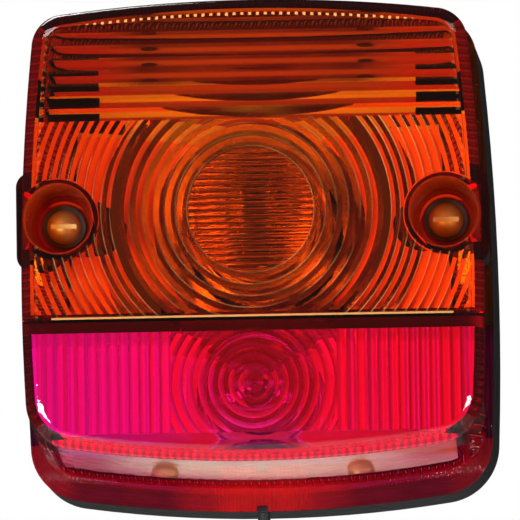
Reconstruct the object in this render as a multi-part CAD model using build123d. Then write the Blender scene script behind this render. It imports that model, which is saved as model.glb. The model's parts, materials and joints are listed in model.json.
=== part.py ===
from build123d import *
from math import atan2, degrees, hypot, sqrt
import os

# Rear combination lamp of a tractor or trailer: an amber indicator above a red stop and tail light,
# with a clear window in the bottom wall that lights the number plate.
# Each piece is modelled with X to the viewer's right, Y up and Z forwards from the mounting face,
# and is stood upright when it is written, so that the lens looks along -Y and the top is +Z.
# All sizes are millimetres.

# Lens flange outline before its corners are rounded. The housing rim and the gasket follow it.
FLANGE_WIDTH = 96.0
FLANGE_HEIGHT = 103.4
TOP_BOW = 3.0
BOTTOM_BOW = 4.4
TOP_TAPER = 3.2
BOTTOM_TAPER = 1.0
WIDEST_HEIGHT = -4.0
TOP_CORNER_RADIUS = 8.0
BOTTOM_CORNER_RADIUS = 11.0
LEAST_CORNER_RADIUS = 1.0

# Depths from the mounting face
HOUSING_DEPTH = 28.0
LENS_FRONT = 66.0

# Housing tray
BASE_FLARE = 1.0
BACK_WALL = 2.5
HOUSING_WALL = 3.0
RIM_WIDTH = 3.4
GASKET_INSET = 1.0
GASKET_WIDTH = 1.4
GASKET_DEPTH = 2.0
GASKET_CLEARANCE = 0.1
DRAIN_RADIUS = 1.3
DRAIN_LENGTH = 1.6
DRAIN_BORE = 0.6
DRAIN_SETBACK = 3.0

# Lens walls: how far they stand in from the flange edge, at the flange and at the front
ROOT_SIDE = 1.0
ROOT_TOP = 0.9
ROOT_BOTTOM = 4.3
FRONT_SIDE = 1.3
FRONT_TOP = 1.4
FRONT_BOTTOM = 9.3
FLANGE_THICKNESS = 3.0
LENS_WALL = 2.3
FACE_THICKNESS = 2.3
FACE_CROWN = 1.2
FACE_EDGE_RADIUS = 4.0
PAD_REACH = 0.8
PAD_HEIGHT = 20.0
PAD_SETBACK = 7.0
PAD_CORNER_RADIUS = 3.0
FLANGE_NOTCH = 2.4

# Optics on the inner side of the lens face
SPLIT_ABOVE_BOTTOM = 37.4
AMBER_WEB = 1.2
RED_WEB = 2.6
WEB_DEPTH = 8.0
OPTIC_MARGIN = 0.6
RELIEF_FLOOR = 0.2
RELIEF_ROOT = 0.6
FLUTE_RISE = 0.09
RIB_RISE = 0.24
RING_RISE = 0.16
FLUTE_BAND = 25.7
FLUTE_PITCH = 2.5
INDICATOR_ABOVE_SPLIT = 21.7
DISC_RADIUS = 12.7
DISC_RIB_PITCH = 1.3
INNER_RING_PITCH = 2.35
INNER_RING_COUNT = 6
STEP_WIDTH = 1.5
STEP_RISE = 0.5
OUTER_RING_PITCH = 1.8
STOP_ABOVE_BOTTOM = 24.2
RED_RING_PITCH = 2.05
RED_RING_START = 2.0
RED_CENTRE_WIDTH = 33.6
RED_RIB_PITCH = 2.05
RED_RIBS_ABOVE_BOTTOM = 14.3

# Number plate window in the bottom wall
WINDOW_INSET = 7.5
WINDOW_BACK = 38.0
WINDOW_FRONT = 60.6
WINDOW_REACH = 7.5

# Lens screws in their wells
SCREW_INSET = 9.0
SCREW_ABOVE_SPLIT = 20.5
WELL_MOUTH_RADIUS = 7.0
WELL_SEAT_RADIUS = 5.4
WELL_WALL = 1.4
WELL_SEAT = 45.0
WELL_FLOOR = 2.5
SCREW_RADIUS = 2.0
SCREW_CLEARANCE = 0.2
SCREW_LENGTH = 20.0
SCREW_HEAD_RADIUS = 3.5
SCREW_HEAD_HEIGHT = 2.6
SCREW_SLOT_WIDTH = 1.0
SCREW_SLOT_DEPTH = 1.1
WASHER_RADIUS = 4.4
WASHER_THICKNESS = 1.0
POST_RADIUS = 5.0
THREAD_CLEARANCE = 0.05

# Reflector
REFLECTOR_SETBACK = 3.5
REFLECTOR_THICKNESS = 1.5
REFLECTOR_CLEARANCE = 0.5
BOWL_RADIUS = 27.4
BOWL_DEPTH = 12.0
BOWL_WALL = 1.5
SOCKET_HOLE_CLEARANCE = 0.8
DIVIDER_THICKNESS = 3.4
DIVIDER_CLEARANCE = 0.4
DIVIDER_NOTCH_WIDTH = 30.0
DIVIDER_NOTCH_HEIGHT = 7.0
CORNER_CUT_WIDTH = 15.8
CORNER_CUT_BELOW_TOP = 14.1
CORNER_CUT_HEIGHT = 7.7
POST_CLEARANCE = 1.0
COLUMN_RADIUS = 3.2
LOWER_COLUMN_SPREAD = 40.4
UPPER_COLUMN_SPREAD = 44.0
LOWER_COLUMN_INSET = 10.3
UPPER_COLUMN_INSET = 9.1
PEG_RADIUS = 1.5
PEG_LENGTH = 3.0
PEG_CLEARANCE = 0.15
SMALL_SCREW_RADIUS = 1.5
SMALL_SCREW_LENGTH = 9.0
SMALL_SCREW_HEAD_RADIUS = 2.8
SMALL_SCREW_HEAD_HEIGHT = 2.0
SMALL_SLOT_WIDTH = 0.8
SMALL_SLOT_DEPTH = 0.8

# Bulbs, with the 15 mm bayonet cap
CAP_RADIUS = 7.5
CAP_WALL = 0.4
CAP_BACK = 10.3
CAP_FRONT = 24.5
PIN_HEIGHT = 19.0
PIN_RADIUS = 1.0
PIN_REACH = 0.9
BASE_TAPER_RADIUS = 4.2
BASE_NOSE = 1.0
CONTACT_RADIUS = 1.5
CONTACT_HEIGHT = 0.8
TAIL_CONTACT_OFFSET = 3.2
GLASS_TIP = 57.5
GLASS_RADIUS = 12.5
GLASS_NECK_RADIUS = 6.9
GLASS_NECK_DEPTH = 4.0
GLASS_WALL = 0.7
STEM_RADIUS = 3.0
STEM_TIP_RADIUS = 1.6
STEM_TOP = 34.0
FILAMENT_HEIGHT = 47.0
FILAMENT_LENGTH = 5.6
FILAMENT_RADIUS = 0.45
LEAD_RADIUS = 0.3
FILAMENT_OFFSET = 1.2

# Bayonet sockets and their contacts
SOCKET_CLEARANCE = 0.2
SOCKET_WALL = 0.5
SOCKET_BACK = 4.0
SOCKET_FRONT = 22.0
SLOT_CLEARANCE = 0.3
SLOT_HOOK = 3.0
CUP_WALL = 2.0
CUP_HEIGHT = 12.0
CUP_CLEARANCE = 0.1
STRIP_WIDTH = 6.3
STRIP_THICKNESS = 0.5
STRIP_CLEARANCE = 0.6
BLADE_OFFSET = 17.0
BLADE_TIP = 12.5
STRIP_BEND = 2.2
STRIP_PAD = 3.4
RIVET_OFFSET = 13.4
RIVET_RADIUS = 1.3
RIVET_HEAD_RADIUS = 2.3
RIVET_HEAD_HEIGHT = 0.9
RIVET_CLEARANCE = 0.1

# Mounting studs and cable inlet
STUD_SPACING = 52.0
STUD_RADIUS = 2.5
STUD_LENGTH = 16.0
STUD_NECK = 6.0
STUD_NECK_CLEARANCE = 0.1
STUD_HEAD_RADIUS = 4.6
STUD_HEAD_HEIGHT = 2.0
STUD_CHAMFER = 0.6
INLET_FROM_SIDE = 17.5
INLET_ABOVE_BOTTOM = 26.7
INLET_RADIUS = 4.6
INLET_POCKET_RADIUS = 7.4
INLET_POCKET_DEPTH = 2.0
INLET_BOSS_RADIUS = 8.2
GROMMET_BORE = 3.0
GROMMET_LIP_RADIUS = 6.2
GROMMET_LIP = 1.6

# Worked out from the sizes above
HALF_WIDTH = FLANGE_WIDTH / 2
HALF_HEIGHT = FLANGE_HEIGHT / 2
SPLIT_HEIGHT = SPLIT_ABOVE_BOTTOM - HALF_HEIGHT
INDICATOR_HEIGHT = SPLIT_HEIGHT + INDICATOR_ABOVE_SPLIT
STOP_HEIGHT = STOP_ABOVE_BOTTOM - HALF_HEIGHT
FLUTE_BOTTOM = HALF_HEIGHT - FLUTE_BAND
RED_RIB_BOTTOM = RED_RIBS_ABOVE_BOTTOM - HALF_HEIGHT
SCREW_X = HALF_WIDTH - SCREW_INSET
SCREW_HEIGHT = SPLIT_HEIGHT + SCREW_ABOVE_SPLIT
UPPER_COLUMN_HEIGHT = HALF_HEIGHT - UPPER_COLUMN_INSET
LOWER_COLUMN_HEIGHT = LOWER_COLUMN_INSET - HALF_HEIGHT
INLET_X = HALF_WIDTH - INLET_FROM_SIDE
INLET_Y = INLET_ABOVE_BOTTOM - HALF_HEIGHT
INNER_FACE = LENS_FRONT - FACE_CROWN - FACE_THICKNESS
FLANGE_FRONT = HOUSING_DEPTH + FLANGE_THICKNESS
WELL_FOOT = WELL_SEAT - WELL_FLOOR
REFLECTOR_BACK = HOUSING_DEPTH - REFLECTOR_SETBACK
REFLECTOR_FRONT = REFLECTOR_BACK + REFLECTOR_THICKNESS
SOCKET_INNER = CAP_RADIUS + SOCKET_CLEARANCE
SOCKET_OUTER = SOCKET_INNER + SOCKET_WALL
CUP_INNER = SOCKET_OUTER + CUP_CLEARANCE
CUP_OUTER = CUP_INNER + CUP_WALL
CONTACT_TIP = CAP_BACK - BASE_NOSE - CONTACT_HEIGHT
BULB_HEIGHTS = (INDICATOR_HEIGHT, STOP_HEIGHT)
FAR = 4 * LENS_FRONT

UPRIGHT = Plane(origin=(0, 0, 0), x_dir=(1, 0, 0), z_dir=(0, -1, 0))


def outline(side, top, bottom, depth):
    """Face at a depth: the flange outline brought in by these amounts, with its corners rounded."""
    half_width = HALF_WIDTH - side
    half_top = half_width - TOP_TAPER
    half_bottom = half_width - BOTTOM_TAPER
    crest = HALF_HEIGHT - top
    keel = bottom - HALF_HEIGHT
    upper_left = (-half_top, crest - TOP_BOW)
    upper_right = (half_top, crest - TOP_BOW)
    lower_left = (-half_bottom, keel + BOTTOM_BOW)
    lower_right = (half_bottom, keel + BOTTOM_BOW)
    face = make_face(
        [
            ThreePointArc(upper_left, (0, crest), upper_right),
            ThreePointArc(upper_right, (half_width, WIDEST_HEIGHT), lower_right),
            ThreePointArc(lower_right, (0, keel), lower_left),
            ThreePointArc(lower_left, (-half_width, WIDEST_HEIGHT), upper_left),
        ]
    )
    top_radius = max(TOP_CORNER_RADIUS - side, LEAST_CORNER_RADIUS)
    bottom_radius = max(BOTTOM_CORNER_RADIUS - side, LEAST_CORNER_RADIUS)
    face = fillet(face.vertices().sort_by(Axis.Y)[-2:], top_radius)
    face = fillet(face.vertices().sort_by(Axis.Y)[:2], bottom_radius)
    return Pos(0, 0, depth) * face


def ring(outer, inner, back, front):
    """Plain round tube about the Z axis."""
    return extrude(Pos(0, 0, back) * (Circle(outer) - Circle(inner)), front - back)


def rod(radius, back, front):
    """Plain round bar about the Z axis."""
    return extrude(Pos(0, 0, back) * Circle(radius), front - back)


def block(left, right, low, high, back, front):
    """Box between these limits."""
    centre = ((left + right) / 2, (low + high) / 2, (back + front) / 2)
    return Pos(*centre) * Box(right - left, high - low, front - back)


def turned(points):
    """Solid of revolution about the Z axis from (radius, depth) points."""
    return revolve(Plane.XZ * make_face(Polyline(points, close=True)), Axis.Z)


def mirrored(shape):
    """The shape and its copy on the other side of the middle plane."""
    return [shape, mirror(shape, Plane.YZ)]


def wall_insets(depth, extra=0.0):
    """How far the lens wall stands in from the flange edge at a depth: side, top, bottom."""
    share = (depth - HOUSING_DEPTH) / (LENS_FRONT - HOUSING_DEPTH)
    ends = ((ROOT_SIDE, FRONT_SIDE), (ROOT_TOP, FRONT_TOP), (ROOT_BOTTOM, FRONT_BOTTOM))
    return [root + share * (front - root) + extra for root, front in ends]


def lens_body():
    """Solid outer form of the lens: a drafted tub with a crowned face and a rounded front edge."""
    body = loft(
        [
            outline(*wall_insets(HOUSING_DEPTH), HOUSING_DEPTH),
            outline(*wall_insets(LENS_FRONT), LENS_FRONT),
        ],
        ruled=True,
    )
    crown_radius = (HALF_HEIGHT**2 + FACE_CROWN**2) / (2 * FACE_CROWN)
    body &= Pos(0, 0, LENS_FRONT - crown_radius) * Rot(90, 0, 0) * Sphere(crown_radius)
    return fillet(body.faces().sort_by(Axis.Z)[-1].edges(), FACE_EDGE_RADIUS)


def lens_cavity():
    """Space inside the lens, flat behind the face."""
    return loft(
        [
            outline(*wall_insets(HOUSING_DEPTH, LENS_WALL), HOUSING_DEPTH),
            outline(*wall_insets(INNER_FACE, LENS_WALL), INNER_FACE),
        ],
        ruled=True,
    )


def optic_zone(left, right, low, high):
    """Prism over a part of the lens face, inside its walls and outside the screw wells."""
    area = outline(*wall_insets(INNER_FACE, LENS_WALL + OPTIC_MARGIN), 0)
    area &= Pos((left + right) / 2, (low + high) / 2) * Rectangle(right - left, high - low)
    well = Circle(WELL_MOUTH_RADIUS + WELL_WALL)
    area -= [Pos(side * SCREW_X, SCREW_HEIGHT) * well for side in (-1, 1)]
    return extrude(Pos(0, 0, LENS_FRONT - FAR) * area, FAR)


def flutes(start, end, pitch, rise):
    """Row of round flutes from start to end, as a face with u along the row and v as depth."""
    valley = INNER_FACE - RELIEF_FLOOR
    count = max(1, round((end - start) / pitch))
    step = (end - start) / count
    edges = []
    for i in range(count):
        low = start + i * step
        crest = (low + step / 2, valley - rise * step)
        edges.append(ThreePointArc((low, valley), crest, (low + step, valley)))
    root = INNER_FACE + RELIEF_ROOT
    edges.append(Polyline((end, valley), (end, root), (start, root), (start, valley)))
    return make_face(edges)


def level_flutes(low, high, pitch, rise):
    """Flutes that lie across the lens, one above the other."""
    return extrude(Plane.YZ * flutes(low, high, pitch, rise), FLANGE_WIDTH, both=True)


def upright_flutes(left, right, pitch, rise):
    """Flutes that stand up, side by side."""
    return extrude(Plane.XZ * flutes(left, right, pitch, rise), FLANGE_HEIGHT, both=True)


def prism_rings(start, pitch, count, rise):
    """Concentric V rings about the Z axis, standing on the inner side of the lens face."""
    valley = INNER_FACE - RELIEF_FLOOR
    points = [(start, INNER_FACE + RELIEF_ROOT), (start, valley)]
    for i in range(count):
        points.append((start + (i + 0.5) * pitch, valley - rise * pitch))
        points.append((start + (i + 1) * pitch, valley))
    points.append((start + count * pitch, INNER_FACE + RELIEF_ROOT))
    return turned(points)


def amber_relief():
    """Indicator optics: level flutes, a ribbed disc, and two sets of rings with a steep one between."""
    floor = SPLIT_HEIGHT + AMBER_WEB
    step_start = DISC_RADIUS + INNER_RING_COUNT * INNER_RING_PITCH
    outer_start = step_start + STEP_WIDTH
    reach = hypot(HALF_WIDTH, INDICATOR_HEIGHT - floor)
    outer_count = int((reach - outer_start) / OUTER_RING_PITCH) + 1
    inner_rings = prism_rings(DISC_RADIUS, INNER_RING_PITCH, INNER_RING_COUNT, RING_RISE)
    step = prism_rings(step_start, STEP_WIDTH, 1, STEP_RISE)
    outer_rings = prism_rings(outer_start, OUTER_RING_PITCH, outer_count, RING_RISE)
    disc_reach = DISC_RADIUS + DISC_RIB_PITCH
    disc = level_flutes(-disc_reach, disc_reach, DISC_RIB_PITCH, RIB_RISE)
    disc &= rod(DISC_RADIUS, 0, LENS_FRONT)
    round_zone = optic_zone(-HALF_WIDTH, HALF_WIDTH, floor, FLUTE_BOTTOM)
    at_bulb = Pos(0, INDICATOR_HEIGHT, 0)
    round_optics = [(at_bulb * part) & round_zone for part in (inner_rings, step, outer_rings, disc)]
    top_flutes = level_flutes(FLUTE_BOTTOM, HALF_HEIGHT, FLUTE_PITCH, FLUTE_RISE)
    top_zone = optic_zone(-HALF_WIDTH, HALF_WIDTH, FLUTE_BOTTOM, HALF_HEIGHT)
    return round_optics + [top_flutes & top_zone]


def red_relief():
    """Stop and tail optics: rings about the bulb between two blocks of upright ribs."""
    half = HALF_WIDTH - wall_insets(INNER_FACE, LENS_WALL + OPTIC_MARGIN)[0]
    centre = RED_CENTRE_WIDTH / 2
    top = SPLIT_HEIGHT - RED_WEB
    reach = hypot(centre, max(top - STOP_HEIGHT, STOP_HEIGHT - RED_RIB_BOTTOM))
    count = int((reach - RED_RING_START) / RED_RING_PITCH) + 1
    rings = Pos(0, STOP_HEIGHT, 0) * prism_rings(RED_RING_START, RED_RING_PITCH, count, RING_RISE)
    relief = [rings & optic_zone(-centre, centre, RED_RIB_BOTTOM, top)]
    for left, right in ((-half, -centre), (centre, half)):
        ribs = upright_flutes(left, right, RED_RIB_PITCH, RIB_RISE)
        relief.append(ribs & optic_zone(left, right, RED_RIB_BOTTOM, top))
    return relief


def lens_pieces():
    """Amber, red and clear mouldings, which meet face to face and share one outer form."""
    outer = lens_body()
    pad_width = FLANGE_WIDTH - 2 * ROOT_SIDE + 2 * PAD_REACH
    pad = RectangleRounded(pad_width, PAD_HEIGHT, PAD_CORNER_RADIUS)
    pad_depth = LENS_FRONT - PAD_SETBACK - HOUSING_DEPTH
    outer += extrude(Pos(0, SCREW_HEIGHT, HOUSING_DEPTH) * pad, pad_depth)
    cavity = lens_cavity()
    flange = extrude(outline(0, 0, 0, HOUSING_DEPTH), FLANGE_THICKNESS)
    shell = outer + flange - cavity

    web_back = INNER_FACE - WEB_DEPTH
    web_low = SPLIT_HEIGHT - RED_WEB
    web_high = SPLIT_HEIGHT + AMBER_WEB
    web = block(-HALF_WIDTH, HALF_WIDTH, web_low, web_high, web_back, INNER_FACE)
    shell += web & cavity

    well_profile = [
        (0, WELL_SEAT),
        (WELL_SEAT_RADIUS, WELL_SEAT),
        (WELL_MOUTH_RADIUS, LENS_FRONT),
        (0, LENS_FRONT),
    ]
    well = turned(well_profile)
    tube_profile = [
        (0, WELL_FOOT),
        (WELL_SEAT_RADIUS + WELL_WALL, WELL_FOOT),
        (WELL_SEAT_RADIUS + WELL_WALL, WELL_SEAT),
        (WELL_MOUTH_RADIUS + WELL_WALL, LENS_FRONT),
        (0, LENS_FRONT),
    ]
    tube = turned(tube_profile)
    hole = rod(SCREW_RADIUS + SCREW_CLEARANCE, WELL_FOOT, WELL_SEAT)
    at_well = Pos(SCREW_X, SCREW_HEIGHT, 0)
    shell += [sleeve & outer for sleeve in mirrored(at_well * tube)]
    shell -= mirrored(at_well * (well + hole))

    amber = shell & block(-FAR, FAR, SPLIT_HEIGHT, FAR, 0, FAR)
    red = shell & block(-FAR, FAR, -FAR, SPLIT_HEIGHT, 0, FAR)
    amber += amber_relief()
    red += red_relief()
    half_window = HALF_WIDTH - WINDOW_INSET
    window_top = wall_insets(WINDOW_FRONT)[2] + WINDOW_REACH - HALF_HEIGHT
    window_zone = block(-half_window, half_window, -FAR, window_top, WINDOW_BACK, WINDOW_FRONT)
    wall = outer - cavity
    window = wall & window_zone
    red -= window_zone
    notch = FLANGE_NOTCH / 2
    red -= block(-notch, notch, -HALF_HEIGHT - notch, notch - HALF_HEIGHT, 0, FLANGE_FRONT)
    return amber, red, window


def housing():
    """Moulded tray with its posts, columns, socket cups, gasket groove and cable inlet."""
    base_share = 1 - BACK_WALL / HOUSING_DEPTH
    tray = loft([outline(-BASE_FLARE, 0, 0, 0), outline(0, 0, 0, HOUSING_DEPTH)], ruled=True)
    floor_side = HOUSING_WALL - BASE_FLARE * base_share
    tray -= loft(
        [
            outline(floor_side, HOUSING_WALL, HOUSING_WALL, BACK_WALL),
            outline(RIM_WIDTH, RIM_WIDTH, RIM_WIDTH, HOUSING_DEPTH),
        ],
        ruled=True,
    )
    groove_inner = GASKET_INSET + GASKET_WIDTH
    groove = outline(GASKET_INSET, GASKET_INSET, GASKET_INSET, HOUSING_DEPTH - GASKET_DEPTH)
    groove -= outline(groove_inner, groove_inner, groove_inner, HOUSING_DEPTH - GASKET_DEPTH)
    tray -= extrude(groove, GASKET_DEPTH)

    post = rod(POST_RADIUS, 0, WELL_FOOT) - rod(
        SCREW_RADIUS + THREAD_CLEARANCE, WELL_SEAT + WASHER_THICKNESS - SCREW_LENGTH, WELL_FOOT
    )
    tray += mirrored(Pos(SCREW_X, SCREW_HEIGHT, 0) * post)
    pilot_foot = REFLECTOR_FRONT - SMALL_SCREW_LENGTH
    lower = rod(COLUMN_RADIUS, 0, REFLECTOR_BACK)
    lower -= rod(SMALL_SCREW_RADIUS + THREAD_CLEARANCE, pilot_foot, REFLECTOR_BACK)
    tray += mirrored(Pos(LOWER_COLUMN_SPREAD / 2, LOWER_COLUMN_HEIGHT, 0) * lower)
    upper = rod(COLUMN_RADIUS, 0, REFLECTOR_BACK) + rod(PEG_RADIUS, 0, REFLECTOR_BACK + PEG_LENGTH)
    tray += mirrored(Pos(UPPER_COLUMN_SPREAD / 2, UPPER_COLUMN_HEIGHT, 0) * upper)

    strip_gap = STRIP_WIDTH / 2 + STRIP_CLEARANCE
    for height in BULB_HEIGHTS:
        cup = ring(CUP_OUTER, CUP_INNER, 0, CUP_HEIGHT)
        cup += ring(CUP_INNER, SOCKET_INNER, 0, SOCKET_BACK)
        cup -= block(-FAR, FAR, -strip_gap, strip_gap, BACK_WALL, CUP_HEIGHT)
        tray += Pos(0, height, 0) * cup
    tray += Pos(INLET_X, INLET_Y, 0) * rod(INLET_BOSS_RADIUS, 0, INLET_POCKET_DEPTH + BACK_WALL)
    inlet = rod(INLET_POCKET_RADIUS, 0, INLET_POCKET_DEPTH)
    inlet += rod(INLET_RADIUS, 0, INLET_POCKET_DEPTH + BACK_WALL)
    tray -= Pos(INLET_X, INLET_Y, 0) * inlet

    neck = STUD_NECK + 2 * STUD_NECK_CLEARANCE
    tray -= mirrored(Pos(STUD_SPACING / 2, 0, BACK_WALL / 2) * Box(neck, neck, BACK_WALL))
    rivet_hole = rod(RIVET_RADIUS + RIVET_CLEARANCE, 0, BACK_WALL)
    rivet_hole += rod(RIVET_HEAD_RADIUS + RIVET_CLEARANCE, 0, RIVET_HEAD_HEIGHT + RIVET_CLEARANCE)
    tray -= [Pos(x, y, 0) * rivet_hole for x, y in rivet_places()]

    spout_depth = HOUSING_DEPTH - GASKET_DEPTH - DRAIN_SETBACK
    at_spout = Pos(0, -HALF_HEIGHT, spout_depth) * Rot(90, 0, 0)
    tray += at_spout * rod(DRAIN_RADIUS, -HOUSING_WALL / 2, DRAIN_LENGTH)
    tray -= at_spout * rod(DRAIN_BORE, -2 * HOUSING_WALL, DRAIN_LENGTH)
    return tray


def lens_gasket():
    """Seal that lies in the rim groove, level with the rim."""
    outer = GASKET_INSET + GASKET_CLEARANCE
    inner = GASKET_INSET + GASKET_WIDTH - GASKET_CLEARANCE
    back = HOUSING_DEPTH - GASKET_DEPTH
    section = outline(outer, outer, outer, back) - outline(inner, inner, inner, back)
    return extrude(section, GASKET_DEPTH)


def bowl_sphere():
    """Radius and centre depth of the sphere that the indicator bowl is part of."""
    radius = (BOWL_RADIUS**2 + BOWL_DEPTH**2) / (2 * BOWL_DEPTH)
    return radius, REFLECTOR_FRONT - BOWL_DEPTH + radius


def reflector():
    """Plate with a bowl behind the indicator bulb and a divider between the two lights."""
    inset = RIM_WIDTH + REFLECTOR_CLEARANCE
    plate = extrude(outline(inset, inset, inset, REFLECTOR_BACK), REFLECTOR_THICKNESS)
    radius, centre = bowl_sphere()
    divider_top = SPLIT_HEIGHT + AMBER_WEB
    divider_low = divider_top - DIVIDER_THICKNESS
    at_bulb = Pos(0, INDICATOR_HEIGHT, centre)
    dish = at_bulb * Sphere(radius + BOWL_WALL)
    plate += dish & block(-FAR, FAR, divider_low, FAR, 0, REFLECTOR_FRONT)

    half_divider = HALF_WIDTH - wall_insets(FLANGE_FRONT, LENS_WALL + REFLECTOR_CLEARANCE)[0]
    divider_front = INNER_FACE - WEB_DEPTH - DIVIDER_CLEARANCE
    wall = block(-half_divider, half_divider, divider_low, divider_top, REFLECTOR_BACK, divider_front)
    half_notch = DIVIDER_NOTCH_WIDTH / 2
    notch_back = REFLECTOR_FRONT + DIVIDER_NOTCH_HEIGHT
    wall -= block(-half_notch, half_notch, divider_low, divider_top, notch_back, divider_front)
    plate += wall
    bowl = at_bulb * Sphere(radius)
    plate -= bowl & block(-FAR, FAR, divider_top, FAR, 0, REFLECTOR_FRONT)

    hole = rod(SOCKET_OUTER + SOCKET_HOLE_CLEARANCE, 0, LENS_FRONT)
    plate -= [Pos(0, height, 0) * hole for height in BULB_HEIGHTS]
    post_hole = rod(POST_RADIUS + POST_CLEARANCE, 0, LENS_FRONT)
    post_slot = block(0, FAR, -POST_RADIUS - POST_CLEARANCE, POST_RADIUS + POST_CLEARANCE, 0, LENS_FRONT)
    plate -= mirrored(Pos(SCREW_X, SCREW_HEIGHT, 0) * (post_hole + post_slot))
    cut_top = HALF_HEIGHT - CORNER_CUT_BELOW_TOP
    cut_inside = HALF_WIDTH - CORNER_CUT_WIDTH
    plate -= mirrored(block(cut_inside, FAR, cut_top - CORNER_CUT_HEIGHT, cut_top, 0, LENS_FRONT))
    peg_hole = rod(PEG_RADIUS + PEG_CLEARANCE, 0, LENS_FRONT)
    plate -= mirrored(Pos(UPPER_COLUMN_SPREAD / 2, UPPER_COLUMN_HEIGHT, 0) * peg_hole)
    screw_hole = rod(SMALL_SCREW_RADIUS + SCREW_CLEARANCE, 0, LENS_FRONT)
    plate -= mirrored(Pos(LOWER_COLUMN_SPREAD / 2, LOWER_COLUMN_HEIGHT, 0) * screw_hole)
    return plate


def domed_screw(shank, length, head, head_height, slot_width, slot_depth):
    """Screw with a domed slotted head, its bearing face at depth 0 and its shank behind."""
    dome = (head**2 + head_height**2) / (2 * head_height)
    cap = Pos(0, 0, head_height - dome) * Sphere(dome) & rod(head, 0, head_height)
    cap -= block(-head, head, -slot_width / 2, slot_width / 2, head_height - slot_depth, head_height)
    return cap + rod(shank, -length, 0)


def lens_screws():
    screw = domed_screw(
        SCREW_RADIUS,
        SCREW_LENGTH,
        SCREW_HEAD_RADIUS,
        SCREW_HEAD_HEIGHT,
        SCREW_SLOT_WIDTH,
        SCREW_SLOT_DEPTH,
    )
    return mirrored(Pos(SCREW_X, SCREW_HEIGHT, WELL_SEAT + WASHER_THICKNESS) * screw)


def lens_screw_washers():
    washer = ring(WASHER_RADIUS, SCREW_RADIUS + SCREW_CLEARANCE, WELL_SEAT, WELL_SEAT + WASHER_THICKNESS)
    return mirrored(Pos(SCREW_X, SCREW_HEIGHT, 0) * washer)


def reflector_screws():
    screw = domed_screw(
        SMALL_SCREW_RADIUS,
        SMALL_SCREW_LENGTH,
        SMALL_SCREW_HEAD_RADIUS,
        SMALL_SCREW_HEAD_HEIGHT,
        SMALL_SLOT_WIDTH,
        SMALL_SLOT_DEPTH,
    )
    return mirrored(Pos(LOWER_COLUMN_SPREAD / 2, LOWER_COLUMN_HEIGHT, REFLECTOR_FRONT) * screw)


def mounting_studs():
    """Square-necked studs whose heads lie inside the tray."""
    stud = rod(STUD_HEAD_RADIUS, BACK_WALL, BACK_WALL + STUD_HEAD_HEIGHT)
    stud += Pos(0, 0, BACK_WALL / 2) * Box(STUD_NECK, STUD_NECK, BACK_WALL)
    shank = rod(STUD_RADIUS, -STUD_LENGTH, 0)
    stud += chamfer(shank.edges().sort_by(Axis.Z)[0], STUD_CHAMFER)
    return mirrored(Pos(STUD_SPACING / 2, 0, 0) * stud)


def cable_grommet():
    """Soft ring that grips the edge of the cable inlet."""
    inner_lip = INLET_POCKET_DEPTH + BACK_WALL
    grommet = turned(
        [
            (GROMMET_BORE, INLET_POCKET_DEPTH - GROMMET_LIP),
            (GROMMET_LIP_RADIUS, INLET_POCKET_DEPTH - GROMMET_LIP),
            (GROMMET_LIP_RADIUS, INLET_POCKET_DEPTH),
            (INLET_RADIUS, INLET_POCKET_DEPTH),
            (INLET_RADIUS, inner_lip),
            (GROMMET_LIP_RADIUS, inner_lip),
            (GROMMET_BORE, inner_lip + GROMMET_LIP),
        ]
    )
    return Pos(INLET_X, INLET_Y, 0) * grommet


def socket(height):
    """Bayonet shell with two J slots for the bulb's pins."""
    shell = ring(SOCKET_OUTER, SOCKET_INNER, SOCKET_BACK, SOCKET_FRONT)
    half_slot = PIN_RADIUS + SLOT_CLEARANCE
    slot_back = PIN_HEIGHT - half_slot
    slot = block(0, FAR, -half_slot, half_slot, slot_back, SOCKET_FRONT)
    slot += block(0, FAR, -half_slot, half_slot + SLOT_HOOK, slot_back, PIN_HEIGHT + half_slot)
    shell -= [slot, Rot(0, 0, 180) * slot]
    return Pos(0, height, 0) * shell


def spring_strip(tip):
    """Contact strip from a blade beside the socket to a sprung pad at x = tip under the bulb."""
    flat_top = BACK_WALL + STRIP_THICKNESS
    pad_end = tip + STRIP_PAD / 2
    bend = pad_end + STRIP_BEND
    pad_start = tip - STRIP_PAD / 2
    profile = Polyline(
        (BLADE_OFFSET, BACK_WALL),
        (BLADE_OFFSET, BLADE_TIP),
        (BLADE_OFFSET - STRIP_THICKNESS, BLADE_TIP),
        (BLADE_OFFSET - STRIP_THICKNESS, flat_top),
        (bend, flat_top),
        (pad_end, CONTACT_TIP),
        (pad_start, CONTACT_TIP),
        (pad_start, CONTACT_TIP - STRIP_THICKNESS),
        (pad_end, CONTACT_TIP - STRIP_THICKNESS),
        (bend, BACK_WALL),
        close=True,
    )
    strip = extrude(Plane.XZ * make_face(profile), STRIP_WIDTH / 2, both=True)
    return strip - Pos(RIVET_OFFSET, 0, 0) * rod(RIVET_RADIUS + RIVET_CLEARANCE, BACK_WALL, flat_top)


def rivet_places():
    """Where the three contact strips are riveted to the back wall."""
    return [
        (-RIVET_OFFSET, INDICATOR_HEIGHT),
        (-RIVET_OFFSET, STOP_HEIGHT),
        (RIVET_OFFSET, STOP_HEIGHT),
    ]


def contact_rivets():
    flat_top = BACK_WALL + STRIP_THICKNESS
    rivet = rod(RIVET_RADIUS, 0, flat_top)
    rivet += rod(RIVET_HEAD_RADIUS, 0, RIVET_HEAD_HEIGHT)
    rivet += rod(RIVET_HEAD_RADIUS, flat_top, flat_top + RIVET_HEAD_HEIGHT)
    return [Pos(x, y, 0) * rivet for x, y in rivet_places()]


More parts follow.
